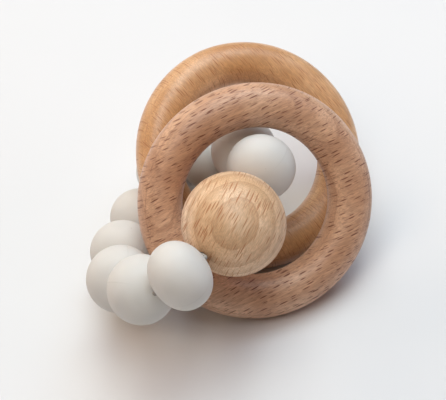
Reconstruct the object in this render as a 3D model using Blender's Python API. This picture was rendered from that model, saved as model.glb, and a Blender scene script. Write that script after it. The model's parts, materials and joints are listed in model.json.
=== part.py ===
"""Baby rattle: two turned beech rings linked through a closed loop of beads.

The loop is a cord that carries nine silicone beads and one larger beech bead. Its two ends
meet in a knot that is drawn into the beech bead's bore. Both rings' bands pass through the
loop, so neither ring can come off, and each one swings on the loop.

Units are metres, +Z is up, and the rattle stands on the plane z = 0 as it is put down on a
table: on the lowest points of both rings and on two of the silicone beads.
"""

from math import acos, cos, pi, radians, sin

import bmesh
import bpy
from mathutils import Matrix, Vector

MM = 0.001

# Rings
RING_OUTER_DIAMETER = 52.0 * MM
RING_BAND = 9.8 * MM
RING_STEPS = 56
BAND_SIDES = 20

# How each ring leans: the angle between its plane and the table, and the compass
# direction, counted from +X, in which its raised face looks.
FRONT_RING_LEAN = radians(51.0)
FRONT_RING_FACES = radians(-72.5)
BACK_RING_LEAN = radians(37.0)
BACK_RING_FACES = radians(-58.5)

# Where each ring's centre stands on the table
FRONT_RING_PLACE = Vector((6.21 * MM, -2.25 * MM, 0.0))
BACK_RING_FROM_FRONT = Vector((-1.6 * MM, 17.1 * MM, 0.0))

# Where round each ring the loop grips its band, counted from the ring's lowest point
FRONT_RING_GRIP = radians(280.0)
BACK_RING_GRIP = radians(270.0)

# Beads: diameter across the bore, length along it, bore diameter
SILICONE_BEAD = (15.0 * MM, 12.4 * MM, 3.0 * MM)
WOOD_BEAD = (22.4 * MM, 21.8 * MM, 5.0 * MM)
MOUTH_ROUND = 1.0 * MM
SILICONE_FULLNESS = 2.1
WOOD_FULLNESS = 2.0
BEAD_STEPS = 20
WOOD_BEAD_STEPS = 28
PROFILE_STEPS = 10

# Cord and knot
CORD_DIAMETER = 1.0 * MM
KNOT_DIAMETER = 3.8 * MM
KNOT_LENGTH = 4.6 * MM
CLEARANCE = 0.3 * MM
CORD_POINTS_IN_BORE = 3
CORD_POINTS_IN_BEND = 5
BEND_STARTS = 2.2 * MM
BEND_REACH = 1.7

# The loop's route: one point for each bead, in millimetres from the front ring's place,
# the beech bead first and then round the loop, up over the front and back underneath.
LOOP_ROUTE = (
    (-4.0, -13.8, 30.5),
    (-14.9, -28.3, 32.4),
    (-24.2, -24.2, 23.4),
    (-30.0, -15.1, 16.0),
    (-30.5, -3.3, 10.6),
    (-27.0, 8.7, 7.5),
    (-21.9, 21.2, 7.5),
    (-10.5, 19.3, 14.3),
    (-2.3, 13.8, 22.8),
    (1.9, 2.9, 29.1),
)

# Each bore's share of the stretch that arrives, against the one that leaves. Halving the
# bend is the rule. A bead beside the beech bead is drawn round towards it by the tight cord.
EVEN_SHARE = 0.5
ARRIVING_SHARE = {0: 0.0, 1: 0.58, 9: 0.3}

BAND_RADIUS = RING_BAND / 2
BAND_CORNER = BAND_RADIUS / cos(pi / BAND_SIDES)
SPINE_RADIUS = (RING_OUTER_DIAMETER - RING_BAND) / 2


def clear_scene():
    for thing in list(bpy.data.objects):
        bpy.data.objects.remove(thing, do_unlink=True)


def make_material(name, colour, roughness):
    material = bpy.data.materials.new(name)
    material.use_nodes = True
    shader = material.node_tree.nodes["Principled BSDF"]
    shader.inputs["Base Color"].default_value = (*colour, 1.0)
    shader.inputs["Roughness"].default_value = roughness
    shader.inputs["Metallic"].default_value = 0.0
    material.diffuse_color = (*colour, 1.0)
    return material


def add_object(name, data, place, material):
    """Puts a mesh or curve into the scene under its node's name."""
    thing = bpy.data.objects.new(name, data)
    bpy.context.scene.collection.objects.link(thing)
    thing.matrix_world = place
    if not data.materials:
        data.materials.append(material)
    return thing


def add_pivot(name, place, parent=None):
    """An empty whose Z axis is a joint's axis."""
    pivot = bpy.data.objects.new(name, None)
    bpy.context.scene.collection.objects.link(pivot)
    pivot.empty_display_size = 0.01
    pivot.matrix_world = place
    if parent:
        hang_on(pivot, parent)
    return pivot


def hang_on(child, parent):
    """Parents the child and leaves it where it is."""
    bpy.context.view_layer.update()
    child.parent = parent
    child.matrix_parent_inverse = parent.matrix_world.inverted()


def turned_mesh(name, profile, steps):
    """Turns a closed profile of (radius, height) points round the Z axis."""
    shape = bmesh.new()
    corners = [shape.verts.new((radius, 0.0, height)) for radius, height in profile]
    edges = [shape.edges.new((a, b)) for a, b in zip(corners, corners[1:] + corners[:1])]
    bmesh.ops.spin(
        shape,
        geom=corners + edges,
        cent=(0.0, 0.0, 0.0),
        axis=(0.0, 0.0, 1.0),
        angle=2 * pi,
        steps=steps,
        use_merge=True,
    )
    bmesh.ops.recalc_face_normals(shape, faces=shape.faces)
    mesh = bpy.data.meshes.new(name)
    shape.to_mesh(mesh)
    shape.free()
    mesh.shade_smooth()
    mesh.set_sharp_from_angle(angle=radians(40))
    return mesh


def band_profile():
    """The ring's band: a full round whose top and bottom facets are the planed flats."""
    first = pi / BAND_SIDES
    angles = [first + 2 * pi * side / BAND_SIDES for side in range(BAND_SIDES)]
    return [(SPINE_RADIUS + BAND_CORNER * cos(a), BAND_CORNER * sin(a)) for a in angles]


def bead_profile(bead, fullness):
    """A bead's half section: a superellipse from mouth to mouth, and the bore.

    A fullness of 2 is an ellipse, and more than 2 is squarer at the shoulders. Both mouths
    are eased by a bevel, so that the cord can bend as it leaves.
    """
    diameter, length, bore = bead
    power = 2.0 / fullness
    radius, half, hole = diameter / 2, length / 2, bore / 2
    start = acos(((hole + MOUTH_ROUND) / radius) ** (1 / power))
    points = []
    for step in range(PROFILE_STEPS + 1):
        angle = start - 2 * start * step / PROFILE_STEPS
        across = radius * cos(angle) ** power
        along = half * abs(sin(angle)) ** power
        points.append((across, along if angle > 0 else -along))
    mouth = points[0][1] - MOUTH_ROUND
    return points + [(hole, -mouth), (hole, mouth)]


def ring_frame(centre, lean, faces):
    """The ring's own frame: Z is its axis, and X points to its lowest point."""
    turn = Matrix.Rotation(faces, 4, "Z") @ Matrix.Rotation(lean, 4, "Y")
    height = SPINE_RADIUS * sin(lean) + BAND_CORNER
    return Matrix.Translation(centre + Vector((0.0, 0.0, height))) @ turn


def grip_frame(ring, grip):
    """A frame on the band's centre line at the grip, with Z along the band."""
    local = Matrix.Rotation(grip, 4, "Z") @ Matrix.Translation((SPINE_RADIUS, 0.0, 0.0))
    return ring @ local @ Matrix.Rotation(radians(-90), 4, "X")


def bead_frames():
    """One frame for each bead: its Z axis, the bore, shares the bend between its neighbours."""
    route = [FRONT_RING_PLACE + Vector(point) * MM for point in LOOP_ROUTE]
    frames = []
    for index, centre in enumerate(route):
        arriving = (centre - route[index - 1]).normalized()
        leaving = (route[(index + 1) % len(route)] - centre).normalized()
        share = ARRIVING_SHARE.get(index, EVEN_SHARE)
        bore = (arriving * share + leaving * (1 - share)).normalized()
        turn = Vector((0.0, 0.0, 1.0)).rotation_difference(bore).to_matrix().to_4x4()
        frames.append(Matrix.Translation(centre) @ turn)
    return frames


def bend_point(start, start_way, end, end_way, part):
    """A point of the cubic that leaves one bore along its axis and enters the next."""
    reach = BEND_REACH * (end - start).length
    hold = 1 - part
    return (
        start * (hold * hold * (1 + 2 * part))
        + start_way * (reach * part * hold * hold)
        + end * (part * part * (3 - 2 * part))
        - end_way * (reach * part * part * hold)
    )


def cord_route(frames):
    """The cord's centre line: straight in each bore, bent between beads, knot to knot.

    Each bend starts a little inside the bore, where the cord leans on the eased mouth.
    """
    spans = []
    for index, frame in enumerate(frames):
        half = (WOOD_BEAD if index == 0 else SILICONE_BEAD)[1] / 2 - BEND_STARTS
        centre, way = frame.to_translation(), frame.to_3x3() @ Vector((0.0, 0.0, 1.0))
        spans.append((centre, way, half))
    knot_centre, knot_way, wood_half = spans[0]
    knot_end = KNOT_LENGTH / 2 + CLEARANCE

    def straight(centre, way, first, last):
        count = CORD_POINTS_IN_BORE
        return [centre + way * (first + (last - first) * i / (count - 1)) for i in range(count)]

    points = straight(knot_centre, knot_way, knot_end, wood_half)
    for index in range(1, len(spans) + 1):
        centre, way, half = spans[index % len(spans)]
        before_way = spans[index - 1][1]
        entry = centre - way * half
        last_point = points[-1]
        for step in range(1, CORD_POINTS_IN_BEND + 1):
            part = step / (CORD_POINTS_IN_BEND + 1)
            points.append(bend_point(last_point, before_way, entry, way, part))
        final = -knot_end if index == len(spans) else half
        points.extend(straight(centre, way, -half, final))
    return points


def make_cord(points, material):
    data = bpy.data.curves.new("loop_cord", "CURVE")
    data.dimensions = "3D"
    data.bevel_depth = CORD_DIAMETER / 2
    data.bevel_resolution = 2
    data.use_fill_caps = True
    line = data.splines.new("POLY")
    line.points.add(len(points) - 1)
    for slot, point in zip(line.points, points):
        slot.co = (*point, 1.0)
    return add_object("loop_cord", data, Matrix.Identity(4), material)


def make_knot(frame, material):
    """The knot's packed outer shape, a short round-ended plug along the bore."""
    shape = bmesh.new()
    bmesh.ops.create_uvsphere(shape, u_segments=12, v_segments=8, radius=0.5)
    for corner in shape.verts:
        corner.co.x *= KNOT_DIAMETER
        corner.co.y *= KNOT_DIAMETER
        corner.co.z *= KNOT_LENGTH
    mesh = bpy.data.meshes.new("cord_knot")
    shape.to_mesh(mesh)
    shape.free()
    mesh.shade_smooth()
    return add_object("cord_knot", mesh, frame, material)


def make_ring(name, ring, origin, material):
    """A ring whose object origin is the frame given, at its place in the ring's own frame."""
    mesh = turned_mesh(name, band_profile(), RING_STEPS)
    mesh.transform(origin.inverted() @ ring)
    return add_object(name, mesh, origin, material)


def build():
    clear_scene()
    pink_beech = make_material("pink_beech", (0.50, 0.30, 0.19), 0.55)
    honey_beech = make_material("honey_beech", (0.58, 0.34, 0.16), 0.45)
    pale_beech = make_material("pale_beech", (0.62, 0.42, 0.26), 0.50)
    grey_silicone = make_material("grey_silicone", (0.60, 0.57, 0.53), 0.60)
    cotton = make_material("cotton_cord", (0.72, 0.70, 0.66), 0.90)

    front = ring_frame(FRONT_RING_PLACE, FRONT_RING_LEAN, FRONT_RING_FACES)
    back_place = FRONT_RING_PLACE + BACK_RING_FROM_FRONT
    back = ring_frame(back_place, BACK_RING_LEAN, BACK_RING_FACES)

    loop_pivot = add_pivot("loop_pivot", grip_frame(back, BACK_RING_GRIP))
    front_grip = grip_frame(front, FRONT_RING_GRIP)
    front_pivot = add_pivot("front_ring_pivot", front_grip, loop_pivot)

    make_ring("ring_back", back, back, honey_beech)
    hang_on(make_ring("ring_front", front, front_grip, pink_beech), front_pivot)

    frames = bead_frames()
    wood_mesh = turned_mesh("wood_bead", bead_profile(WOOD_BEAD, WOOD_FULLNESS), WOOD_BEAD_STEPS)
    hang_on(add_object("wood_bead", wood_mesh, frames[0], pale_beech), loop_pivot)
    silicone_profile = bead_profile(SILICONE_BEAD, SILICONE_FULLNESS)
    silicone_mesh = turned_mesh("silicone_bead", silicone_profile, BEAD_STEPS)
    for number, frame in enumerate(frames[1:], start=1):
        bead = add_object(f"silicone_bead_{number}", silicone_mesh, frame, grey_silicone)
        hang_on(bead, loop_pivot)

    hang_on(make_knot(frames[0], cotton), loop_pivot)
    hang_on(make_cord(cord_route(frames), cotton), loop_pivot)
    bpy.context.view_layer.update()


build()
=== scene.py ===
"""Baby rattle: two turned beech rings linked through a closed loop of beads.

Nine silicone beads and one larger beech bead are strung on a braided cord, which closes in a
knot inside the beech bead. Both rings pass through the loop and lean on it as it lies on a
table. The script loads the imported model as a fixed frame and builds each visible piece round
it, with one operator for each piece or group of like pieces and one for the stage.
"""

import json

import bpy
import numpy as np
from bpy.props import FloatProperty, FloatVectorProperty, PointerProperty
from mathutils import Matrix, Vector


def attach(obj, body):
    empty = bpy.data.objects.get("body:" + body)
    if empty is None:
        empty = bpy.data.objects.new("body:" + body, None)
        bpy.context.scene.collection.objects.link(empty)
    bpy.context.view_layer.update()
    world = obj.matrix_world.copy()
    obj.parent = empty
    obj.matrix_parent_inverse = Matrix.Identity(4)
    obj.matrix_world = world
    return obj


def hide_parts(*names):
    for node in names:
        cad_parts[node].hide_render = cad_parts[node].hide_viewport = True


bl_info = {
    "name": "Baby Rattle",
    "version": (1, 0, 0),
    "blender": (4, 5, 0),
    "location": "View3D > Sidebar > Rattle",
    "description": "Builds a beech and silicone baby rattle round its packed frame",
    "category": "Object",
}

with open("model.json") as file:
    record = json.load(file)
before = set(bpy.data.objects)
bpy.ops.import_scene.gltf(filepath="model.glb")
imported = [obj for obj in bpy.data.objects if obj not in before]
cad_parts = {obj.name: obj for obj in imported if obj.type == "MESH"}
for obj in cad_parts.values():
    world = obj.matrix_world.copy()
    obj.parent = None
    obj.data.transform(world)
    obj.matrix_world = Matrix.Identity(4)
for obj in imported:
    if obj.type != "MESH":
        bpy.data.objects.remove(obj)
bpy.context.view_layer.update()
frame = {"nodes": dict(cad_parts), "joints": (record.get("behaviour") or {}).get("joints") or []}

MM = 0.001

# Rings: grid, and the faint line that the rounding cutter leaves round each face
RING_ROWS = 420
BAND_COLUMNS = 84
WITNESS_ANGLE = np.radians(43.0)
WITNESS_WIDTH = np.radians(1.3)
LINE_OFFSETS = np.radians([-3.2, -2.2, -1.5, -0.8, 0.0, 0.8, 1.5, 2.2, 3.2])

# Beads: grid, and the ridge where the two halves of the silicone mould met
BEAD_COLUMNS = 88
PLAIN_BEAD_COLUMNS = 128
OUTSIDE_ROWS = 60
MOUTH_ROWS = 7
BORE_ROWS = 6
MOUTH_SHAPE = 1.35
RIDGE_WIDTH = np.radians(1.1)
PARTING_TURNS = (0.0, 0.9, 2.0, 2.6, 0.4, 1.3, 1.1, 2.3, 0.7)

# Cord and knot
CORD_STATION = 0.28 * MM
CORD_COLUMNS = 24
STRANDS = 4
BRAID_PITCH = 2.4 * MM
KNOT_ROWS = 60
KNOT_COLUMNS = 72
BORE_POINTS = 3
BEND_POINTS = 5
BEND_STARTS = 0.5 * MM
BEND_REACH = 1.1
CORD_END_GAP = 0.3 * MM

# Stage: each light's name, power in watts, colour, bearing and height in degrees
LIGHT_DISTANCE = 0.9
LIGHT_SIZE = 0.5
LIGHTS = (
    ("Ceiling", 1.55, (0.80, 0.92, 1.0), 0, 88),
    ("Back skylight", 1.95, (0.94, 1.0, 0.90), 12, 72),
    ("Back window", 1.25, (0.82, 0.86, 1.0), 0, 52),
    ("Right window", 1.80, (0.63, 0.82, 1.0), 45, 52),
    ("Front skylight", 1.80, (0.94, 0.97, 1.0), 195, 72),
    ("Front wall", 1.15, (1.0, 0.69, 0.42), 225, 52),
    ("Right wall", 0.80, (1.0, 0.68, 0.66), 90, 30),
    ("Left wall", 0.55, (1.0, 0.76, 0.78), 270, 30),
    ("Back left wall", 2.20, (1.0, 0.80, 0.60), 315, 30),
)

# Camera: where it stands, what it looks at, its roll in degrees and its lens in millimetres
CAMERA_PLACE = Vector((0.0294, -0.26695, 0.3285))
CAMERA_AIM = Vector((-0.00088, -0.00202, 0.02220))
CAMERA_ROLL = -8.62
CAMERA_LENS = 150.0
SENSOR_WIDTH = 36.0

# The way the fibres run in each beech piece, and the way across its growth layers
FRONT_FIBRES, FRONT_LAYERS = (0.905, 0.402, 0.137), (0.196, -0.681, 0.706)
BACK_FIBRES, BACK_LAYERS = (0.604, -0.572, -0.555), (0.281, -0.498, 0.82)
BEAD_FIBRES, BEAD_LAYERS = (0.509, 0.675, 0.534), (0.09, -0.66, 0.745)

# Flecks in beech, in millimetres: the long ones' spacing along the fibres as a share of their
# length, the cell and the spindle across the layers, and the small ones' size against theirs
FLECK_SPACING = 1.5
FLECK_CELL_DEPTH = 9.0
FLECK_HALF_DEPTH = 11.0
SMALL_FLECK = 0.55

# Braid's slanting strands along the cord's whole length, in radians
BRAID_WAVES = 340.0


# ---------------------------------------------------------------------------
# Places read from the frame
# ---------------------------------------------------------------------------


def unit(vectors):
    """Each vector divided by its length."""
    return vectors / np.linalg.norm(vectors, axis=-1, keepdims=True)


def node_points(name):
    """The different corner points of a node's mesh."""
    mesh = frame["nodes"][name].data
    points = np.empty(len(mesh.vertices) * 3)
    mesh.vertices.foreach_get("co", points)
    return np.unique(points.reshape(-1, 3).round(7), axis=0)


def ring_place(name):
    """A ring's centre, and its axes as rows: to its lowest point, across that, and upwards.

    The centre is the mean of its points, and the upward axis is the way they spread least.
    """
    points = node_points(name)
    centre = points.mean(0)
    axis = np.linalg.svd(points - centre, full_matrices=False)[2][2]
    axis = axis * np.sign(axis[2])
    lowest = unit(axis * axis[2] - np.array((0.0, 0.0, 1.0)))
    return centre, np.array((lowest, np.cross(axis, lowest), axis))


def bead_places():
    """Centre and bore direction of all ten beads, the beech bead first, in order of the loop.

    A silicone bead spins about its bore, so its joint gives both. The beech bead's bore is
    the way its knot is longest.
    """
    joints = {joint["child"]: joint for joint in frame["joints"]}
    beads = [joints[f"bead_{number}"] for number in range(1, 10)]
    centres = np.array([bead["pos_m"] for bead in beads])
    ways = unit(np.array([bead["axis"] for bead in beads]))
    first = node_points("wood_bead").mean(0)
    knot = node_points("cord_knot")
    way = np.linalg.svd(knot - knot.mean(0), full_matrices=False)[2][0]
    way = way * np.sign(way @ (centres[0] - first))
    return np.vstack((first, centres)), np.vstack((way, ways))


def across(way):
    """Two axes square to a direction and to each other, the first as level as it can be."""
    side = unit(np.cross((0.0, 0.0, 1.0), way))
    return side, np.cross(way, side)


def bore_radius(name, centre, way):
    """Half the bore: the least distance of a bead's points from its axis."""
    out = node_points(name) - centre
    return np.linalg.norm(out - np.outer(out @ way, way), axis=1).min()


# ---------------------------------------------------------------------------
# Surfaces
# ---------------------------------------------------------------------------


def surface(name, grid, material, poles=None, marks=None):
    """A mesh over a grid of points, closed round its columns.

    Its rows close on each other too, or on two poles, given as points. Each row and column
    becomes a step of the UV map, and marks are values kept on the points under a name.
    """
    rows, columns = grid.shape[:2]
    last = rows if poles is None else rows - 1
    row = np.repeat(np.arange(last), columns)
    column = np.tile(np.arange(columns), last)
    down, right = row + np.array([[0], [1], [1], [0]]), column + np.array([[0], [0], [1], [1]])
    faces = ((down % rows) * columns + right % columns).T.tolist()
    steps = np.stack((down / rows, right / columns), -1).transpose(1, 0, 2).reshape(-1, 2)
    points = grid.reshape(-1, 3)
    if poles is not None:
        spin = np.arange(columns)
        after = (spin + 1) % columns
        count = len(points)
        top = np.stack((np.full(columns, count), spin, after), -1)
        base = (rows - 1) * columns
        bottom = np.stack((np.full(columns, count + 1), base + after, base + spin), -1)
        faces += top.tolist() + bottom.tolist()
        points = np.vstack((points, poles))
        turn = np.stack((spin + 0.5, spin, spin + 1), -1) / columns
        back = np.stack((spin + 0.5, spin + 1, spin), -1) / columns
        ends = np.stack((np.zeros_like(turn), turn), -1).reshape(-1, 2)
        others = np.stack((np.ones_like(back), back), -1).reshape(-1, 2)
        steps = np.vstack((steps, ends, others))
    mesh = bpy.data.meshes.new(name)
    mesh.from_pydata(points.tolist(), [], faces)
    mesh.uv_layers.new(name="UVMap").data.foreach_set("uv", steps.astype(np.float32).ravel())
    for label, values in (marks or {}).items():
        kept = np.zeros(len(points), np.float32)
        kept[: values.size] = np.broadcast_to(values, (rows, columns)).ravel()
        mesh.attributes.new(label, "FLOAT", "POINT").data.foreach_set("value", kept)
    mesh.validate()
    mesh.shade_smooth()
    mesh.materials.append(material)
    piece = bpy.data.objects.new(name, mesh)
    bpy.context.scene.collection.objects.link(piece)
    if signed_volume(mesh) < 0:
        mesh.flip_normals()
    return piece


def signed_volume(mesh):
    """Six times the volume inside a closed mesh, below zero where its faces look inwards."""
    mesh.calc_loop_triangles()
    corners = np.empty(len(mesh.loop_triangles) * 3, np.int32)
    mesh.loop_triangles.foreach_get("vertices", corners)
    points = np.empty(len(mesh.vertices) * 3)
    mesh.vertices.foreach_get("co", points)
    a, b, c = points.reshape(-1, 3)[corners.reshape(-1, 3)].transpose(1, 0, 2)
    return float(np.einsum("ij,ij->", a, np.cross(b, c)))


def with_lines(count, lines):
    """Even angles round a circle, with more of them close to each line's angle."""
    even = np.linspace(0, 2 * np.pi, count, endpoint=False)
    gap = np.abs(np.angle(np.exp(1j * (even[:, None] - np.array(lines)[None, :]))))
    kept = even[gap.min(1) > LINE_OFFSETS[-1] * 1.2]
    extra = (np.array(lines)[:, None] + LINE_OFFSETS[None, :]).ravel() % (2 * np.pi)
    return np.sort(np.concatenate((kept, extra)))


def near(angles, line, width):
    """A bell of height one where an angle meets a line, as wide as the width given."""
    gap = np.angle(np.exp(1j * (angles - line)))
    return np.exp(-((gap / width) ** 2))


def beech_ring(name, node, settings, phase, material):
    """A ring's band carried round its centre line.

    Round the band, the distance from the centre line is a superellipse, r = R (|cos v|^p +
    |sin v|^p)^(-1/p), less a shallow groove at the two witness lines, plus a hand-sanded
    wander of a few slow waves. Round the ring, that section is carried along a circle:
    centre + (S + r cos v)(x cos u + y sin u) + r sin v z.
    """
    centre, (low, side, axis) = ring_place(node)
    points = node_points(node) - centre
    out = np.linalg.norm(points - np.outer(points @ axis, axis), axis=1)
    band = (out.max() - out.min()) / 2 * settings.fill
    spine = (out.max() + out.min()) / 2
    around = np.linspace(0, 2 * np.pi, RING_ROWS, endpoint=False)[:, None]
    lines = (WITNESS_ANGLE, 2 * np.pi - WITNESS_ANGLE)
    section = with_lines(BAND_COLUMNS, lines)[None, :]
    power = settings.fullness
    radius = (np.abs(np.cos(section)) ** power + np.abs(np.sin(section)) ** power) ** (-1 / power)
    radius = band * radius * np.ones_like(around)
    witness = sum(near(section, line, WITNESS_WIDTH) for line in lines)
    radius -= settings.witness_depth * witness
    wander = np.sin(3 * around + phase) * np.cos(section + phase)
    wander = wander + 0.6 * np.sin(5 * around + section + 2.1 * phase)
    wander = wander + 0.4 * np.sin(8 * around - 2 * section + 3.7 * phase)
    radius += settings.wander * wander
    reach = (spine + radius * np.cos(section))[..., None]
    rise = (radius * np.sin(section))[..., None]
    spoke = low * np.cos(around)[..., None] + side * np.sin(around)[..., None]
    grid = centre + reach * spoke + rise * axis
    # Painted highlight: the band is painted lighter towards its outer rim
    rim_highlight = np.clip(np.cos(section), 0, 1) ** 4 * np.ones_like(around)
    return surface(name, grid, material, marks={"witness": witness + 0 * around, "rim": rim_highlight})


def bead_section(diameter, length, bore, mouth, power, room=0.0):
    """A bead's closed half section as (distance from the bore's axis, height) rows.

    Outside it is a superellipse from mouth to mouth. Each mouth eases into the bore on a
    small superellipse arc. The bore widens by room (1 - (z / h)^4) towards its middle. The
    last value is how near a point is to a mouth.
    """
    radius, half, hole = diameter / 2, length / 2, bore / 2
    shape = 2 / power
    start = np.arccos(((hole + mouth) / radius) ** (1 / shape))
    turn = np.linspace(start, -start, OUTSIDE_ROWS)
    reach = radius * np.cos(turn) ** shape
    rise = half * np.sign(turn) * np.abs(np.sin(turn)) ** shape
    ease = np.linspace(0, np.pi / 2, MOUTH_ROWS + 2)[1:]
    inward = hole + mouth * (1 - np.sin(ease) ** (2 / MOUTH_SHAPE))
    depth = mouth * (1 - np.cos(ease) ** (2 / MOUTH_SHAPE))
    top = rise[0]
    well = np.linspace(-(top - mouth), top - mouth, BORE_ROWS + 2)[1:-1]
    inside = hole + room * (1 - (well / (top - mouth)) ** 4)
    reach = np.concatenate((reach, inward, inside, inward[::-1]))
    rise = np.concatenate((rise, -(top - depth), well, (top - depth)[::-1]))
    return reach, rise, np.clip(1 - (reach - hole) / (2.2 * mouth), 0, 1)


def bead(name, centre, way, size, material, parting=None, ridge=0.0, room=0.0):
    """A bead: its half section turned round the bore.

    A point stands at centre + r (a cos u + b sin u) + h way, where r and h follow the half
    section, and r grows by the mould's ridge along one plane through the bore.
    """
    sizes = size.diameter, size.length, size.bore, size.mouth, size.fullness
    reach, rise, mouth = bead_section(*sizes, room)
    lines = () if parting is None else (parting % (2 * np.pi), (parting + np.pi) % (2 * np.pi))
    if lines:
        turn = with_lines(BEAD_COLUMNS, lines)
        seam = sum(near(turn, line, RIDGE_WIDTH) for line in lines)[None, :]
    else:
        turn = np.linspace(0, 2 * np.pi, PLAIN_BEAD_COLUMNS, endpoint=False)
        seam = np.zeros((1, len(turn)))
    side, other = across(way)
    spoke = np.outer(np.cos(turn), side) + np.outer(np.sin(turn), other)
    outside = (np.clip(reach / reach.max() * 2 - 1, 0, 1))[:, None]
    reach = reach[:, None] + ridge * seam * outside
    grid = centre + reach[..., None] * spoke[None] + rise[:, None, None] * way
    marks = {"mouth": mouth[:, None] + 0 * seam, "seam": seam * outside}
    return surface(name, grid, material, marks=marks)


# ---------------------------------------------------------------------------
# Materials
# ---------------------------------------------------------------------------


def add_node(tree, kind, inputs=None, **settings):
    """A node with its settings and its inputs, each a value or another node's socket."""
    node = tree.nodes.new(kind)
    for name, value in settings.items():
        setattr(node, name, value)
    for key, value in (inputs or {}).items():
        if isinstance(value, bpy.types.NodeSocket):
            tree.links.new(value, node.inputs[key])
        else:
            node.inputs[key].default_value = value
    return node


def maths(tree, operation, first, second=0.0, clamp=False):
    """The result of one sum on one or two values."""
    inputs = {0: first, 1: second}
    return add_node(tree, "ShaderNodeMath", inputs, operation=operation, use_clamp=clamp).outputs[0]


def vectors(tree, operation, first, second=(0.0, 0.0, 0.0)):
    """The result of one sum on vectors: a value for a length, else a vector."""
    node = add_node(tree, "ShaderNodeVectorMath", {0: first, 1: second}, operation=operation)
    return node.outputs["Value" if operation == "LENGTH" else "Vector"]


def scaled(tree, colour, share):
    """A colour made darker or lighter by a share."""
    inputs = {0: colour, "Scale": share}
    return add_node(tree, "ShaderNodeVectorMath", inputs, operation="SCALE").outputs["Vector"]


def noise(tree, where, scale, detail=2.0, roughness=0.5):
    """A soft random pattern, whose first output is a value and whose Color is three."""
    inputs = {"Vector": where, "Scale": scale, "Detail": detail, "Roughness": roughness}
    return add_node(tree, "ShaderNodeTexNoise", inputs)


def between(tree, value, low, high, start=0.0, end=1.0, smooth=True):
    """A value that goes from start to end as the input goes from low to high."""
    inputs = {"Value": value, "From Min": low, "From Max": high, "To Min": start, "To Max": end}
    kind = "SMOOTHSTEP" if smooth else "LINEAR"
    return add_node(tree, "ShaderNodeMapRange", inputs, interpolation_type=kind).outputs[0]


def mixed(tree, share, first, second):
    """Two colours mixed by a share, all of the second at one."""
    node = add_node(tree, "ShaderNodeMix", data_type="RGBA")
    for slot, value in ((0, share), (6, first), (7, second)):
        if isinstance(value, bpy.types.NodeSocket):
            tree.links.new(value, node.inputs[slot])
        else:
            node.inputs[slot].default_value = (*value, 1.0) if slot else value
    return node.outputs[2]


def mark(tree, name):
    """A value that the mesh keeps on its points."""
    return add_node(tree, "ShaderNodeAttribute", attribute_name=name).outputs["Fac"]


def new_finish(name):
    """An empty material, its node tree, its shader and the surface's object coordinates."""
    material = bpy.data.materials.new(name)
    material.use_nodes = True
    tree = material.node_tree
    tree.nodes.clear()
    shader = add_node(tree, "ShaderNodeBsdfPrincipled")
    out = add_node(tree, "ShaderNodeOutputMaterial")
    tree.links.new(shader.outputs[0], out.inputs[0])
    place = add_node(tree, "ShaderNodeTexCoord").outputs["Object"]
    return material, tree, shader, place


def grain_turn(fibres, layers):
    """The turn whose X runs with the fibres and whose Z runs across the growth layers."""
    along = Vector(fibres).normalized()
    up = (Vector(layers) - along * along.dot(Vector(layers))).normalized()
    return Matrix((along, up.cross(along), up)).transposed().to_euler()


def flecks(tree, grain, cell, half, kept, seed):
    """The cut ends of rays: thin spindles that lie along the fibres, one or none to a cell.

    Each cell of a stretched cell pattern holds a point. The value is one on a spindle round
    that point, whose half sizes are along the fibres, round the tree and across the layers.
    """
    shifted = vectors(tree, "ADD", grain, (seed * 3.7, seed * 1.9, seed * 5.3))
    where = vectors(tree, "DIVIDE", shifted, cell)
    inputs = {"Vector": where, "Scale": 1.0, "Randomness": 1.0}
    cells = add_node(tree, "ShaderNodeTexVoronoi", inputs)
    gap = vectors(tree, "SUBTRACT", where, cells.outputs["Position"])
    reach = tuple(c / h for c, h in zip(cell, half))
    far = vectors(tree, "LENGTH", vectors(tree, "MULTIPLY", gap, reach))
    pick = add_node(tree, "ShaderNodeSeparateColor", {"Color": cells.outputs["Color"]})
    chosen = between(tree, pick.outputs[0], 1 - kept, 1 - kept * 0.6, smooth=False)
    size = between(tree, pick.outputs[1], 0.0, 1.0, 0.65, 1.2, smooth=False)
    spindle = between(tree, maths(tree, "DIVIDE", far, size), 0.5, 1.0, 1.0, 0.0)
    return maths(tree, "MULTIPLY", spindle, chosen)


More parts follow.
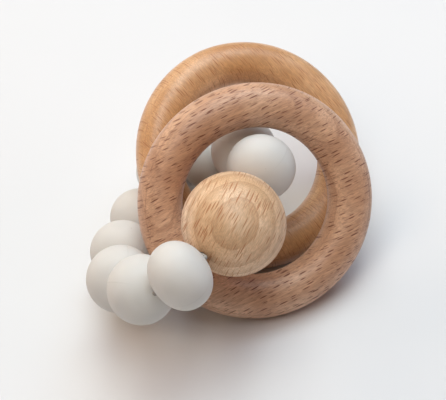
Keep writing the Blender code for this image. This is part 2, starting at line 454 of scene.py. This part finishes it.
def beech(name, colours, centre, fibres, layers, wood, seed):
    """Sanded beech, cut from a solid grain so that every face shows its own figure.

    In the grain's own millimetres X runs with the fibres and Z across the growth layers.
    The layers are circles round a pith some way below, or above where its depth is less
    than nothing. Rays are thin blades that show as short dark flecks on the face.
    """
    light, warm, late, ray = colours
    material, tree, shader, place = new_finish(name)
    turn = grain_turn(fibres, layers)
    inputs = {"Vector": place, "Location": centre, "Rotation": turn, "Scale": (MM, MM, MM)}
    grain = add_node(tree, "ShaderNodeMapping", inputs, vector_type="TEXTURE").outputs[0]
    grain = vectors(tree, "ADD", grain, (seed * 11.3, 0.0, 0.0))

    drift = noise(tree, grain, 0.09, 2.0).outputs["Color"]
    drift = vectors(tree, "SUBTRACT", drift, (0.5, 0.5, 0.5))
    drift = vectors(tree, "MULTIPLY", drift, (0.0, wood.wobble, wood.wobble))
    bent = vectors(tree, "ADD", grain, drift)

    from_pith = vectors(tree, "ADD", bent, (0.0, wood.pith_side, wood.pith_depth))
    radius = vectors(tree, "LENGTH", vectors(tree, "MULTIPLY", from_pith, (0.0, 1.0, 1.0)))
    year = maths(tree, "FRACT", maths(tree, "DIVIDE", radius, wood.year_width))
    growing = between(tree, year, 0.25, 0.94)
    closing = between(tree, year, 0.94, 1.0, 1.0, 0.0)
    latewood = maths(tree, "MULTIPLY", growing, closing)
    edge = maths(tree, "MULTIPLY", between(tree, year, 0.86, 0.95), closing)

    patches = between(tree, noise(tree, bent, 0.075, 2.0).outputs[0], 0.3, 0.7)
    stretched = vectors(tree, "MULTIPLY", bent, (0.12, 2.0, 2.0))
    fibre = between(tree, noise(tree, stretched, 1.0, 3.0, 0.6).outputs[0], 0.3, 0.7)
    broad = vectors(tree, "MULTIPLY", bent, (0.06, 0.9, 0.9))
    streaks = between(tree, noise(tree, broad, 1.0, 2.0).outputs[0], 0.32, 0.68)
    fine = vectors(tree, "MULTIPLY", bent, (0.4, 4.2, 4.2))
    pores = between(tree, noise(tree, fine, 1.0, 2.0, 0.6).outputs[0], 0.35, 0.68)

    long_cell = (wood.fleck_length * FLECK_SPACING, wood.fleck_gap, FLECK_CELL_DEPTH)
    long_half = (wood.fleck_length / 2, wood.fleck_width / 2, FLECK_HALF_DEPTH)
    short_cell = tuple(side * SMALL_FLECK for side in long_cell)
    short_half = tuple(side * SMALL_FLECK for side in long_half)
    rays = flecks(tree, bent, long_cell, long_half, 0.75, seed + 1)
    small = flecks(tree, bent, short_cell, short_half, 0.6, seed + 4)
    rays = maths(tree, "MAXIMUM", rays, maths(tree, "MULTIPLY", small, 0.55))
    depth = between(tree, noise(tree, grain, 0.11, 1.0).outputs[0], 0.32, 0.62, 0.8, 1.0)
    rays = maths(tree, "MULTIPLY", rays, depth)

    colour = mixed(tree, patches, light, warm)
    colour = mixed(tree, maths(tree, "MULTIPLY", streaks, wood.streak_depth), colour, late)
    colour = mixed(tree, maths(tree, "MULTIPLY", fibre, wood.fibre_depth), colour, late)
    colour = mixed(tree, maths(tree, "MULTIPLY", latewood, wood.year_depth), colour, late)
    colour = mixed(tree, maths(tree, "MULTIPLY", edge, wood.year_depth * wood.year_edge), colour, ray)
    colour = scaled(tree, colour, between(tree, pores, 0.0, 1.0, 0.88, 1.07))
    colour = mixed(tree, maths(tree, "MULTIPLY", rays, wood.fleck_depth), colour, ray)

    broken = between(tree, noise(tree, grain, 0.5, 2.0).outputs[0], 0.42, 0.6)
    witness = maths(tree, "MULTIPLY", mark(tree, "witness"), broken)
    colour = mixed(tree, maths(tree, "MULTIPLY", witness, 0.5), colour, ray)
    # Painted highlight: lighter towards each ring's outer rim
    colour = mixed(tree, maths(tree, "MULTIPLY", mark(tree, "rim"), 0.16), colour, light)
    # Painted shade: darker round each bore's mouth
    colour = mixed(tree, maths(tree, "MULTIPLY", mark(tree, "mouth"), 0.55), colour, ray)
    tree.links.new(colour, shader.inputs["Base Color"])

    rough = between(tree, fibre, 0.0, 1.0, wood.roughness - 0.05, wood.roughness + 0.06)
    rough = maths(tree, "ADD", rough, maths(tree, "MULTIPLY", rays, 0.18), clamp=True)
    tree.links.new(rough, shader.inputs["Roughness"])
    relief = maths(tree, "MULTIPLY", fibre, 0.25)
    relief = maths(tree, "SUBTRACT", relief, rays)
    relief = maths(tree, "ADD", relief, maths(tree, "MULTIPLY", pores, 0.18))
    bump = {"Height": relief, "Strength": 0.5, "Distance": wood.relief}
    tree.links.new(add_node(tree, "ShaderNodeBump", bump).outputs[0], shader.inputs["Normal"])
    shader.inputs["Specular IOR Level"].default_value = 0.6
    shader.inputs["Sheen Weight"].default_value = wood.sheen
    shader.inputs["Sheen Roughness"].default_value = 0.45
    shader.inputs["Coat Weight"].default_value = wood.oil
    shader.inputs["Coat Roughness"].default_value = 0.42
    return material


def silicone(name, settings, centre, seed):
    """Matte silicone rubber: an even warm grey with soft light inside, a fine moulded texture,
    a faint cloudiness, a few dusty specks that cling to it and painted shade round each mouth."""
    material, tree, shader, place = new_finish(name)
    inputs = {"Vector": place, "Location": centre, "Scale": (MM, MM, MM)}
    inputs["Rotation"] = (0.4 * seed, 0.7 * seed, 0.2 * seed)
    local = add_node(tree, "ShaderNodeMapping", inputs, vector_type="TEXTURE").outputs[0]
    cloud = between(tree, noise(tree, local, 0.16, 2.0).outputs[0], 0.3, 0.7)
    deep = tuple(value * 0.955 for value in settings.colour)
    colour = mixed(tree, cloud, settings.colour, deep)
    spots = add_node(tree, "ShaderNodeTexVoronoi", {"Vector": local, "Scale": 0.42})
    pick = add_node(tree, "ShaderNodeSeparateColor", {"Color": spots.outputs["Color"]})
    dot = between(tree, spots.outputs["Distance"], 0.03, 0.07, 1.0, 0.0)
    dark = maths(tree, "MULTIPLY", dot, between(tree, pick.outputs[0], 0.90, 0.93))
    pale = maths(tree, "MULTIPLY", dot, between(tree, pick.outputs[1], 0.78, 0.84))
    colour = mixed(tree, maths(tree, "MULTIPLY", dark, 0.35), colour, settings.dust_and_mouth_shade)
    colour = mixed(tree, maths(tree, "MULTIPLY", pale, 0.25), colour, (0.86, 0.86, 0.85))
    colour = mixed(tree, maths(tree, "MULTIPLY", mark(tree, "seam"), 0.10), colour, settings.dust_and_mouth_shade)
    # Painted shade: darker round each bore's mouth, in the dust colour
    colour = mixed(tree, maths(tree, "MULTIPLY", mark(tree, "mouth"), 0.30), colour, settings.dust_and_mouth_shade)
    tree.links.new(colour, shader.inputs["Base Color"])
    skin = noise(tree, local, 7.0, 3.0, 0.6).outputs[0]
    rough = between(tree, skin, 0.3, 0.7, settings.roughness - 0.05, settings.roughness + 0.06)
    tree.links.new(rough, shader.inputs["Roughness"])
    bump = {"Height": skin, "Strength": 0.25, "Distance": 0.02 * MM}
    tree.links.new(add_node(tree, "ShaderNodeBump", bump).outputs[0], shader.inputs["Normal"])
    shader.inputs["Subsurface Weight"].default_value = settings.softness
    shader.inputs["Subsurface Radius"].default_value = (1.0, 0.8, 0.65)
    shader.inputs["Subsurface Scale"].default_value = 1.6 * MM
    shader.inputs["Specular IOR Level"].default_value = 0.32
    return material


def braid(name, colour):
    """Braided cotton: slanting strands that cross each other, shaded where they dip."""
    material, tree, shader, _ = new_finish(name)
    place = add_node(tree, "ShaderNodeTexCoord").outputs["UV"]
    split = add_node(tree, "ShaderNodeSeparateXYZ", {"Vector": place})
    along = maths(tree, "MULTIPLY", split.outputs[0], BRAID_WAVES)
    round_it = maths(tree, "MULTIPLY", split.outputs[1], 2 * np.pi * STRANDS)
    one = maths(tree, "SINE", maths(tree, "ADD", along, round_it))
    two = maths(tree, "SINE", maths(tree, "SUBTRACT", along, round_it))
    crossing = between(tree, maths(tree, "MULTIPLY", one, two), -0.6, 0.6)
    inputs = {"Vector": place, "Scale": (900.0, 40.0, 1.0)}
    hairs = noise(tree, add_node(tree, "ShaderNodeMapping", inputs).outputs[0], 1.0, 3.0).outputs[0]
    dip = tuple(value * 0.62 for value in colour)
    tone = mixed(tree, crossing, dip, colour)
    tone = mixed(tree, between(tree, hairs, 0.3, 0.7, 0.0, 0.3), tone, dip)
    tree.links.new(tone, shader.inputs["Base Color"])
    tree.links.new(between(tree, hairs, 0.2, 0.8, 0.78, 0.95), shader.inputs["Roughness"])
    height = maths(tree, "ADD", crossing, maths(tree, "MULTIPLY", hairs, 0.4))
    bump = {"Height": height, "Strength": 0.6, "Distance": 0.05 * MM}
    tree.links.new(add_node(tree, "ShaderNodeBump", bump).outputs[0], shader.inputs["Normal"])
    shader.inputs["Sheen Weight"].default_value = 0.25
    return material


# ---------------------------------------------------------------------------
# Cord
# ---------------------------------------------------------------------------


def cord_line(centres, ways, knot_half, settings):
    """The cord's centre line from one side of the knot round the loop to the other.

    In each bore it is straight. Between two bores it is a cubic that leaves one along its
    axis and enters the next along its own, from a little inside each mouth.
    """
    halves = np.full(10, settings.silicone_length / 2 - BEND_STARTS)
    halves[0] = settings.wood_length / 2 - BEND_STARTS
    gap = knot_half + CORD_END_GAP
    part = (np.arange(1, BEND_POINTS + 1) / (BEND_POINTS + 1))[:, None]
    hold = 1 - part
    line = [centres[0] + np.linspace(gap, halves[0], BORE_POINTS)[:, None] * ways[0]]
    for number in range(1, 11):
        bead_now = number % 10
        start, end = line[-1][-1], centres[bead_now] - ways[bead_now] * halves[bead_now]
        reach = BEND_REACH * np.linalg.norm(end - start)
        bend = start * hold**2 * (1 + 2 * part) + ways[number - 1] * reach * part * hold**2
        bend = bend + end * part**2 * (3 - 2 * part) - ways[bead_now] * reach * part**2 * hold
        final = -gap if number == 10 else halves[bead_now]
        inside = np.linspace(-halves[bead_now], final, BORE_POINTS)[:, None] * ways[bead_now]
        line += [bend, centres[bead_now] + inside]
    return np.vstack(line)


def smooth_line(points, step):
    """A smooth line through the points with stations at an even step.

    Each stretch between two points is the cubic whose slope at a point is that of its two
    neighbours, and the stations are then spread evenly by length.
    """
    ends = np.vstack((2 * points[0] - points[1], points, 2 * points[-1] - points[-2]))
    a, b, c, d = ends[:-3, None], ends[1:-2, None], ends[2:-1, None], ends[3:, None]
    t = np.linspace(0, 1, 12, endpoint=False)[None, :, None]
    cubic = 2 * b + (c - a) * t + (2 * a - 5 * b + 4 * c - d) * t**2
    line = (0.5 * (cubic + (3 * b - 3 * c + d - a) * t**3)).reshape(-1, 3)
    line = np.vstack((line, points[-1]))
    length = np.concatenate(([0], np.cumsum(np.linalg.norm(np.diff(line, axis=0), axis=1))))
    even = np.linspace(0, length[-1], int(length[-1] / step))
    return np.stack([np.interp(even, length, line[:, i]) for i in range(3)], -1), length[-1]


def cord_surface(name, points, radius, material):
    """A braided tube along the line.

    At each station the section stands square to the line. Its radius is r (1 + 0.07 sin(n v
    + k s) sin(n v - k s)), where the two families of strands cross, and it closes on a
    rounded end.
    """
    line, length = smooth_line(points, CORD_STATION)
    along = unit(np.gradient(line, axis=0))
    side = unit(np.cross(along, line - line.mean(0)))
    other = np.cross(along, side)
    distance = np.linspace(0, length, len(line))[:, None]
    turn = np.linspace(0, 2 * np.pi, CORD_COLUMNS, endpoint=False)[None, :]
    pitch = 2 * np.pi * distance / BRAID_PITCH
    strands = np.sin(STRANDS * turn + pitch) * np.sin(STRANDS * turn - pitch)
    close = np.minimum(distance, length - distance) / radius
    round_end = np.sqrt(1 - (1 - np.clip(close, 0.08, 1)) ** 2)
    size = (radius * 0.93 * (1 + 0.07 * strands) * round_end)[..., None]
    spoke = side[:, None] * np.cos(turn)[..., None] + other[:, None] * np.sin(turn)[..., None]
    grid = line[:, None] + size * spoke
    poles = np.stack((line[0] - along[0] * radius * 0.1, line[-1] + along[-1] * radius * 0.1))
    return surface(name, grid, material, poles=poles)


def knot_surface(name, centre, way, radius, half, material):
    """A drawn-up knot: a ball of cord whose turns stand out as slanting ridges.

    A point stands on an ellipsoid whose size is 1 - 0.16 (1 - |sin(3 u + 4 v)|) cos(v)^0.5,
    with u round the bore and v from end to end.
    """
    rise = np.linspace(np.pi / 2, -np.pi / 2, KNOT_ROWS + 2)[1:-1, None]
    turn = np.linspace(0, 2 * np.pi, KNOT_COLUMNS, endpoint=False)[None, :]
    ridge = 1 - 0.16 * (1 - np.abs(np.sin(3 * turn + 4 * rise))) * np.cos(rise) ** 0.5
    side, other = across(way)
    spoke = side * np.cos(turn)[..., None] + other * np.sin(turn)[..., None]
    grid = centre + (radius * ridge * np.cos(rise))[..., None] * spoke
    grid = grid + (half * ridge * np.sin(rise))[..., None] * way
    poles = np.stack((centre + way * half, centre - way * half))
    return surface(name, grid, material, poles=poles)


# ---------------------------------------------------------------------------
# Settings
# ---------------------------------------------------------------------------


def colour_property(name, description, default):
    """A colour setting."""
    return FloatVectorProperty(
        name=name, description=description, subtype="COLOR", size=3, min=0, max=1, default=default
    )


def length_property(name, description, default, top=0.1):
    """A length setting, in metres."""
    return FloatProperty(
        name=name,
        description=description,
        unit="LENGTH",
        subtype="DISTANCE",
        precision=5,
        min=0,
        max=top,
        default=default,
    )


def share_property(name, description, default):
    """A setting from none to all."""
    return FloatProperty(
        name=name, description=description, subtype="FACTOR", min=0, max=1, default=default
    )


class RattleRings(bpy.types.PropertyGroup):
    """Shape and colours of the two beech rings."""

    fullness: FloatProperty(
        name="Fullness", description="2 is a round band, more is squarer", default=2.08, min=2
    )
    fill: share_property("Fill", "Share of the packed band that the ring fills", 0.995)
    witness_depth: length_property(
        "Witness Line", "Depth of the line left by the rounding cutter", 0.05 * MM
    )
    wander: length_property("Wander", "How far sanding by hand leaves the band uneven", 0.022 * MM)
    front_light: colour_property("Front Light", "Front ring's light wood", (0.80, 0.50, 0.325))
    front_warm: colour_property("Front Warm", "Front ring's warmer patches", (0.57, 0.30, 0.165))
    front_late: colour_property("Front Layers", "Front ring's late wood", (0.37, 0.18, 0.10))
    front_ray: colour_property("Front Flecks", "Front ring's flecks", (0.17, 0.05, 0.02))
    back_light: colour_property("Back Light", "Back ring's light wood", (0.80, 0.48, 0.255))
    back_warm: colour_property("Back Warm", "Back ring's warmer patches", (0.57, 0.285, 0.115))
    back_late: colour_property("Back Layers", "Back ring's late wood", (0.44, 0.20, 0.07))
    back_ray: colour_property("Back Flecks", "Back ring's flecks", (0.34, 0.115, 0.03))


class RattleWoodBead(bpy.types.PropertyGroup):
    """Size and colours of the beech bead."""

    diameter: length_property("Diameter", "Across the bore", 22.4 * MM)
    length: length_property("Length", "Along the bore", 21.8 * MM)
    bore: length_property("Bore", "Bore at its mouths, as it fits the cord", 1.3 * MM)
    mouth: length_property("Mouth", "Easing of the bore's mouths", 0.12 * MM)
    fullness: FloatProperty(
        name="Fullness", description="2 is an ellipse, more is squarer", default=2.0, min=1
    )
    light: colour_property("Light", "Light wood", (0.92, 0.69, 0.48))
    warm: colour_property("Warm", "Warmer patches", (0.77, 0.50, 0.285))
    late: colour_property("Layers", "Late wood", (0.52, 0.30, 0.155))
    ray: colour_property("Flecks", "Flecks", (0.42, 0.175, 0.065))


class RattleSilicone(bpy.types.PropertyGroup):
    """Size and finish of the nine silicone beads."""

    diameter: length_property("Diameter", "Across the bore", 15.0 * MM)
    length: length_property("Length", "Along the bore", 12.4 * MM)
    bore: length_property("Bore", "Bore, as it closes on the cord", 1.12 * MM)
    mouth: length_property("Mouth", "Easing of the bore's mouths", 0.12 * MM)
    fullness: FloatProperty(
        name="Fullness", description="2 is an ellipse, more is squarer", default=2.1, min=1
    )
    ridge: length_property("Parting Ridge", "Height of the mould's parting line", 0.035 * MM)
    colour: colour_property("Colour", "Colour of the silicone", (0.66, 0.637, 0.603))
    # Colour of real dust specks, and also of the painted shade round each bore's mouth
    dust_and_mouth_shade: colour_property("Dust", "Colour of dust and dark specks", (0.30, 0.25, 0.21))
    roughness: share_property("Roughness", "How matte the silicone is", 0.58)
    softness: share_property("Softness", "How far light spreads inside", 0.18)


class RattleCord(bpy.types.PropertyGroup):
    """Size and colour of the cord and its knot."""

    diameter: length_property("Diameter", "Thickness of the cord", 1.0 * MM)
    wood_length: length_property("Beech Bead", "Length of the beech bead's bore", 21.8 * MM)
    silicone_length: length_property("Silicone Bead", "Length of a silicone bead", 12.4 * MM)
    colour: colour_property("Colour", "Colour of the cotton", (0.40, 0.375, 0.34))


class RattleStage(bpy.types.PropertyGroup):
    """Table top, room and lights."""

    floor: colour_property("Floor", "Colour of the table top", (0.735, 0.737, 0.745))
    floor_size: length_property("Floor Size", "Side of the table top", 3.0, top=10)
    sky: colour_property("Room", "Colour of the room", (1.0, 0.99, 0.98))
    sky_strength: FloatProperty(
        name="Room Light", description="Strength of the room's own light", default=0.02, min=0
    )
    sky_seen: FloatProperty(
        name="Room Seen", description="Brightness of the room behind", default=0.88, min=0
    )
    light_power: FloatProperty(
        name="Lights", description="Power of the soft lights, as a share", default=1.19, min=0
    )


class Wood:
    """How one piece of beech is cut: sizes in millimetres, depths as shares."""

    def __init__(self, **values):
        self.pith_side = 0.0
        self.pith_depth = 34.0
        self.year_width = 2.6
        self.year_depth = 0.35
        self.year_edge = 0.35
        self.streak_depth = 0.28
        self.fleck_length = 2.4
        self.fleck_width = 0.34
        self.fleck_gap = 0.8
        self.fleck_depth = 1.0
        self.wobble = 1.2
        self.fibre_depth = 0.45
        self.roughness = 0.44
        self.relief = 0.06 * MM
        self.sheen = 0.12
        self.oil = 0.0
        for name, value in values.items():
            setattr(self, name, value)


# ---------------------------------------------------------------------------
# Operators
# ---------------------------------------------------------------------------


class RATTLE_OT_rings(bpy.types.Operator):
    """Make the two turned beech rings"""

    bl_idname = "rattle.rings"
    bl_label = "Beech Rings"

    def execute(self, context):
        look = context.scene.rattle_rings
        front = beech(
            "Pink beech",
            (look.front_light, look.front_warm, look.front_late, look.front_ray),
            ring_place("ring_front")[0],
            FRONT_FIBRES,
            FRONT_LAYERS,
            Wood(pith_depth=60.0, pith_side=4.0, year_width=3.3),
            seed=1,
        )
        back = beech(
            "Honey beech",
            (look.back_light, look.back_warm, look.back_late, look.back_ray),
            ring_place("ring_back")[0],
            BACK_FIBRES,
            BACK_LAYERS,
            Wood(
                pith_depth=50.0,
                year_width=2.0,
                year_depth=0.25,
                year_edge=0.15,
                wobble=0.6,
                fleck_length=3.2,
                fleck_width=0.25,
                fleck_gap=0.65,
                fleck_depth=0.8,
                fibre_depth=0.25,
                streak_depth=0.2,
                roughness=0.38,
                oil=0.18,
            ),
            seed=2,
        )
        ring = beech_ring("front_beech_ring", "ring_front", look, 0.6, front)
        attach(ring, "front_ring")
        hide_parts("ring_front")
        ring = beech_ring("back_beech_ring", "ring_back", look, 2.3, back)
        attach(ring, "back_ring")
        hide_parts("ring_back")
        return {"FINISHED"}


class RATTLE_OT_wood_bead(bpy.types.Operator):
    """Make the large beech bead"""

    bl_idname = "rattle.wood_bead"
    bl_label = "Beech Bead"

    def execute(self, context):
        look = context.scene.rattle_wood_bead
        centres, ways = bead_places()
        material = beech(
            "Pale beech",
            (look.light, look.warm, look.late, look.ray),
            centres[0],
            BEAD_FIBRES,
            BEAD_LAYERS,
            Wood(
                pith_depth=-38.3,
                year_width=3.2,
                year_depth=0.65,
                year_edge=0.25,
                wobble=0.9,
                fleck_length=3.4,
                fleck_width=0.31,
                fleck_gap=0.5,
                fleck_depth=1.0,
                fibre_depth=0.36,
                streak_depth=0.25,
            ),
            seed=3,
        )
        room = bore_radius("wood_bead", centres[0], ways[0]) - look.bore / 2
        piece = bead("beech_bead", centres[0], ways[0], look, material, room=room)
        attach(piece, "loop")
        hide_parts("wood_bead")
        return {"FINISHED"}


class RATTLE_OT_silicone_beads(bpy.types.Operator):
    """Make the nine silicone beads"""

    bl_idname = "rattle.silicone_beads"
    bl_label = "Silicone Beads"

    def execute(self, context):
        look = context.scene.rattle_silicone
        centres, ways = bead_places()
        for number in range(1, 10):
            centre, way = centres[number], ways[number]
            node = f"silicone_bead_{number}"
            material = silicone(f"Silicone {number}", look, centre, number)
            piece = bead(
                f"grey_bead_{number}",
                centre,
                way,
                look,
                material,
                parting=PARTING_TURNS[number - 1],
                ridge=look.ridge,
            )
            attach(piece, f"bead_{number}")
            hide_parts(node)
        return {"FINISHED"}


class RATTLE_OT_cord(bpy.types.Operator):
    """Make the braided cord inside the beads and its knot"""

    bl_idname = "rattle.cord"
    bl_label = "Cord and Knot"

    def execute(self, context):
        look = context.scene.rattle_cord
        centres, ways = bead_places()
        out = node_points("cord_knot") - centres[0]
        half = np.abs(out @ ways[0]).max()
        radius = np.linalg.norm(out - np.outer(out @ ways[0], ways[0]), axis=1).max()
        material = braid("Cotton cord", look.colour)
        line = cord_line(centres, ways, half, look)
        piece = cord_surface("braided_cord", line, look.diameter / 2, material)
        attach(piece, "loop")
        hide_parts("loop_cord")
        piece = knot_surface("drawn_knot", centres[0], ways[0], radius, half, material)
        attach(piece, "loop")
        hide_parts("cord_knot")
        return {"FINISHED"}


def soft_light(name, power, colour, bearing, height):
    """A square soft light that looks at the rattle.

    Its bearing is in degrees from straight behind, turning to the right, and its height is
    in degrees above the table.
    """
    bearing, height = np.radians(bearing), np.radians(height)
    level = np.cos(height)
    place = Vector((np.sin(bearing) * level, np.cos(bearing) * level, np.sin(height)))
    light = bpy.data.lights.new(name, "AREA")
    light.energy = power
    light.color = colour
    light.size = LIGHT_SIZE
    lamp = bpy.data.objects.new(name, light)
    lamp.location = place * LIGHT_DISTANCE
    lamp.rotation_euler = (-place).to_track_quat("-Z", "Y").to_euler()
    bpy.context.scene.collection.objects.link(lamp)


def pale_room(look):
    """The room round the table: plain and pale to look at, though it gives hardly any light."""
    world = bpy.data.worlds.new("Room")
    world.use_nodes = True
    tree = world.node_tree
    sky = tree.nodes["Background"]
    sky.inputs["Color"].default_value = (*look.sky, 1.0)
    seen = add_node(tree, "ShaderNodeLightPath").outputs["Is Camera Ray"]
    strength = between(tree, seen, 0.0, 1.0, look.sky_strength, look.sky_seen, smooth=False)
    tree.links.new(strength, sky.inputs["Strength"])
    return world


class RATTLE_OT_stage(bpy.types.Operator):
    """Make the table top, the soft lights and the camera"""

    bl_idname = "rattle.stage"
    bl_label = "Stage"

    def execute(self, context):
        look = context.scene.rattle_stage
        scene = context.scene
        half = look.floor_size / 2
        corners = [(-half, -half, 0.0), (half, -half, 0.0), (half, half, 0.0), (-half, half, 0.0)]
        mesh = bpy.data.meshes.new("table_top")
        mesh.from_pydata(corners, [], [(0, 1, 2, 3)])
        material, tree, shader, place = new_finish("Table top")
        cloudy = between(tree, noise(tree, place, 9.0, 2.0).outputs[0], 0.3, 0.7)
        deep = tuple(value * 0.985 for value in look.floor)
        tree.links.new(mixed(tree, cloudy, look.floor, deep), shader.inputs["Base Color"])
        shader.inputs["Roughness"].default_value = 0.75
        shader.inputs["Specular IOR Level"].default_value = 0.2
        mesh.materials.append(material)
        floor = bpy.data.objects.new("table_top", mesh)
        scene.collection.objects.link(floor)

        scene.world = pale_room(look)
        for name, power, colour, bearing, height in LIGHTS:
            soft_light(name, power * look.light_power, colour, bearing, height)

        camera = bpy.data.cameras.new("Camera")
        camera.lens = CAMERA_LENS
        camera.sensor_width = SENSOR_WIDTH
        camera.clip_start = 0.01
        camera.clip_end = 10.0
        eye = bpy.data.objects.new("Camera", camera)
        scene.collection.objects.link(eye)
        facing = (CAMERA_AIM - CAMERA_PLACE).to_track_quat("-Z", "Y").to_matrix().to_4x4()
        roll = Matrix.Rotation(np.radians(CAMERA_ROLL), 4, "Z")
        eye.matrix_world = Matrix.Translation(CAMERA_PLACE) @ facing @ roll
        scene.camera = eye
        scene.view_settings.view_transform = "Standard"
        return {"FINISHED"}


class VIEW3D_PT_rattle(bpy.types.Panel):
    """The rattle's pieces and their settings"""

    bl_label = "Baby Rattle"
    bl_idname = "VIEW3D_PT_rattle"
    bl_space_type = "VIEW_3D"
    bl_region_type = "UI"
    bl_category = "Rattle"

    def draw(self, context):
        for operator, group in PIECES:
            box = self.layout.box()
            box.operator(operator.bl_idname)
            settings = getattr(context.scene, group)
            for name in settings.__annotations__:
                box.prop(settings, name)


GROUPS = {
    "rattle_rings": RattleRings,
    "rattle_wood_bead": RattleWoodBead,
    "rattle_silicone": RattleSilicone,
    "rattle_cord": RattleCord,
    "rattle_stage": RattleStage,
}
PIECES = (
    (RATTLE_OT_rings, "rattle_rings"),
    (RATTLE_OT_wood_bead, "rattle_wood_bead"),
    (RATTLE_OT_silicone_beads, "rattle_silicone"),
    (RATTLE_OT_cord, "rattle_cord"),
    (RATTLE_OT_stage, "rattle_stage"),
)
CLASSES = (*GROUPS.values(), *(operator for operator, _ in PIECES), VIEW3D_PT_rattle)


def register():
    """Add the settings, the operators and the panel."""
    for kind in CLASSES:
        bpy.utils.register_class(kind)
    for name, group in GROUPS.items():
        setattr(bpy.types.Scene, name, PointerProperty(type=group))


def unregister():
    """Take the settings, the operators and the panel away again."""
    for name in GROUPS:
        delattr(bpy.types.Scene, name)
    for kind in reversed(CLASSES):
        bpy.utils.unregister_class(kind)


def main():
    """Build every piece and the stage."""
    register()
    bpy.ops.rattle.rings()
    bpy.ops.rattle.wood_bead()
    bpy.ops.rattle.silicone_beads()
    bpy.ops.rattle.cord()
    bpy.ops.rattle.stage()


if __name__ == "__main__":
    main()
